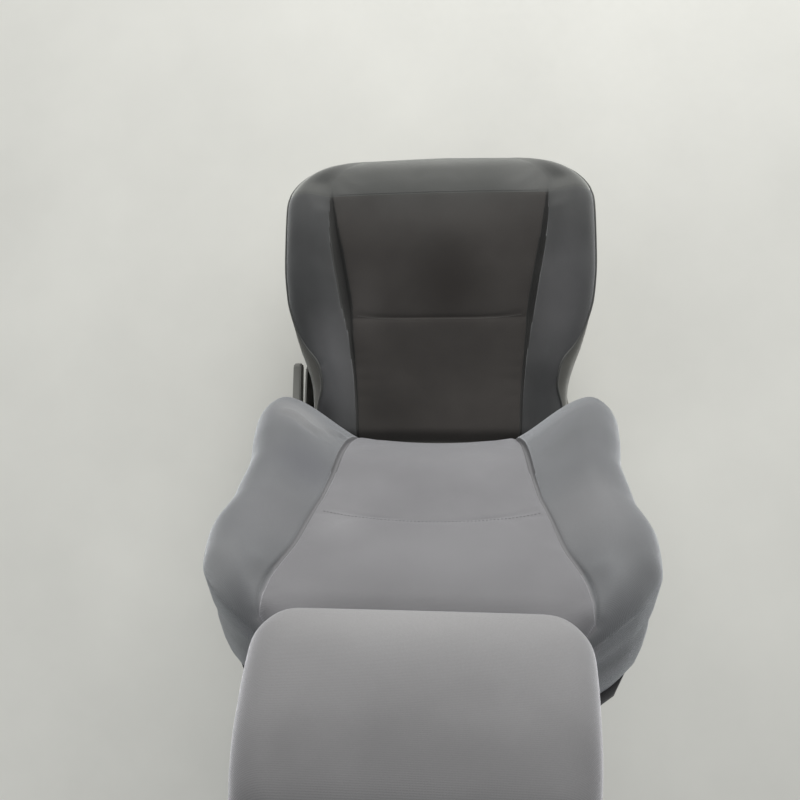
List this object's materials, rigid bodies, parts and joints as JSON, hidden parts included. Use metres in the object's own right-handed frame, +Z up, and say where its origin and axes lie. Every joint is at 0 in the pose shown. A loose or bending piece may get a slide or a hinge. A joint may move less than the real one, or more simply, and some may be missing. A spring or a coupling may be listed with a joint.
{
  "type": "reclining car seat",
  "caption": "Reclining front car seat with bolstered cushion and backrest, headrest, slide rails, recliner lever and track release bar.",
  "frame": {"origin": "on the floor, in the middle of the four floor bolt holes", "axes": "+X to the occupant's left, -Y forward, the way the occupant faces, +Z up"},
  "size_m": [0.531, 0.8131, 1.0241],
  "materials": {
    "zinc_steel": "satin",
    "bright_steel": "polished",
    "spring_steel": "satin",
    "screw_steel": "satin",
    "frame_black": "satin",
    "chrome_steel": "polished",
    "natural_plastic": "satin",
    "black_plastic": "matte",
    "trim_plastic": "matte",
    "cushion_fabric": "matte",
    "back_fabric": "matte",
    "head_fabric": "matte",
    "foam": "matte"
  },
  "bodies": {
    "floor_rails": {"lower_rail_left": "zinc_steel", "lower_rail_right": "zinc_steel", "floor_feet": "frame_black"},
    "ball_cages": {"ball_retainers": "natural_plastic", "track_balls": "bright_steel"},
    "seat_base": {"upper_rail_left": "zinc_steel", "upper_rail_right": "zinc_steel", "riser_brackets": "frame_black", "side_member_left": "frame_black", "side_member_right": "frame_black", "front_cross_tube": "frame_black", "rear_cross_tube": "frame_black", "seat_pan": "frame_black", "suspension_springs": "spring_steel", "cushion_foam": "foam", "cushion_cover": "cushion_fabric", "side_shield_outboard": "trim_plastic", "side_shield_inboard": "trim_plastic", "shield_screws": "screw_steel", "recliner_fixed_discs": "zinc_steel", "latch_brackets": "zinc_steel", "latch_pins": "bright_steel", "release_bar_studs": "bright_steel", "frame_bolts": "screw_steel", "release_springs": "spring_steel"},
    "backrest": {"back_side_member_left": "frame_black", "back_side_member_right": "frame_black", "back_upper_tube": "frame_black", "headrest_guide_tubes": "frame_black", "back_lower_crossmember": "frame_black", "back_suspension_mat": "spring_steel", "backrest_foam": "foam", "backrest_cover": "back_fabric", "back_panel": "black_plastic", "back_panel_clips": "natural_plastic", "recliner_moving_discs": "zinc_steel", "recliner_rivets": "bright_steel", "recliner_springs": "spring_steel", "headrest_sleeve_locking": "black_plastic", "headrest_sleeve_plain": "black_plastic", "headrest_lock_spring": "spring_steel"},
    "recliner_lever": {"recliner_lever": "trim_plastic", "recliner_cross_rod": "bright_steel"},
    "head_restraint": {"headrest_posts": "chrome_steel", "headrest_core": "black_plastic", "headrest_foam": "foam", "headrest_cover": "head_fabric"},
    "headrest_lock_button": {"headrest_lock_button": "black_plastic"},
    "track_release": {"track_release_bar": "frame_black"},
    "latch_left": {"latch_left": "zinc_steel"},
    "latch_right": {"latch_right": "zinc_steel"}
  },
  "joints": [
    {"name": "seat_slide", "type": "slide", "parent": "floor_rails", "child": "seat_base", "axis": [0, 1, 0], "range_m": [-0.12, 0.12]},
    {"name": "cage_slide", "type": "slide", "parent": "floor_rails", "child": "ball_cages", "axis": [0, 1, 0], "range_m": [-0.06, 0.06]},
    {"name": "backrest_recline", "type": "hinge", "parent": "seat_base", "child": "backrest", "pos_m": [0, 0.2, 0.24], "axis": [1, 0, 0], "range_deg": [-48, 14], "deforming": ["recliner_springs"]},
    {"name": "recliner_lever_lift", "type": "hinge", "parent": "seat_base", "child": "recliner_lever", "pos_m": [0, 0.2, 0.24], "axis": [-1, 0, 0], "range_deg": [0, 22], "stiffness_Nm_per_rad": 2.5, "springref_deg": -14.32},
    {"name": "head_restraint_slide", "type": "slide", "parent": "backrest", "child": "head_restraint", "axis": [0, 0.342, 0.9397], "range_m": [0, 0.07]},
    {"name": "headrest_lock_press", "type": "slide", "parent": "backrest", "child": "headrest_lock_button", "axis": [-1, 0, 0], "range_m": [0, 0.003], "stiffness_N_per_m": 600, "springref_m": -0.002, "deforming": ["headrest_lock_spring"]},
    {"name": "track_release_lift", "type": "hinge", "parent": "seat_base", "child": "track_release", "pos_m": [0, -0.006, 0.062], "axis": [-1, 0, 0], "range_deg": [0, 8], "stiffness_Nm_per_rad": 6, "springref_deg": -20.05, "deforming": ["release_springs"]},
    {"name": "latch_left_turn", "type": "hinge", "parent": "seat_base", "child": "latch_left", "pos_m": [0.168, -0.047, 0.047], "axis": [0, 1, 0], "range_deg": [0, 12]},
    {"name": "latch_right_turn", "type": "hinge", "parent": "seat_base", "child": "latch_right", "pos_m": [-0.168, -0.047, 0.047], "axis": [0, -1, 0], "range_deg": [0, 12]}
  ],
  "couplings": [
    {"joint": "cage_slide", "follows": "seat_slide", "ratio": 0.5},
    {"joint": "latch_left_turn", "follows": "track_release_lift", "ratio": 1.5},
    {"joint": "latch_right_turn", "follows": "track_release_lift", "ratio": 1.5}
  ]
}
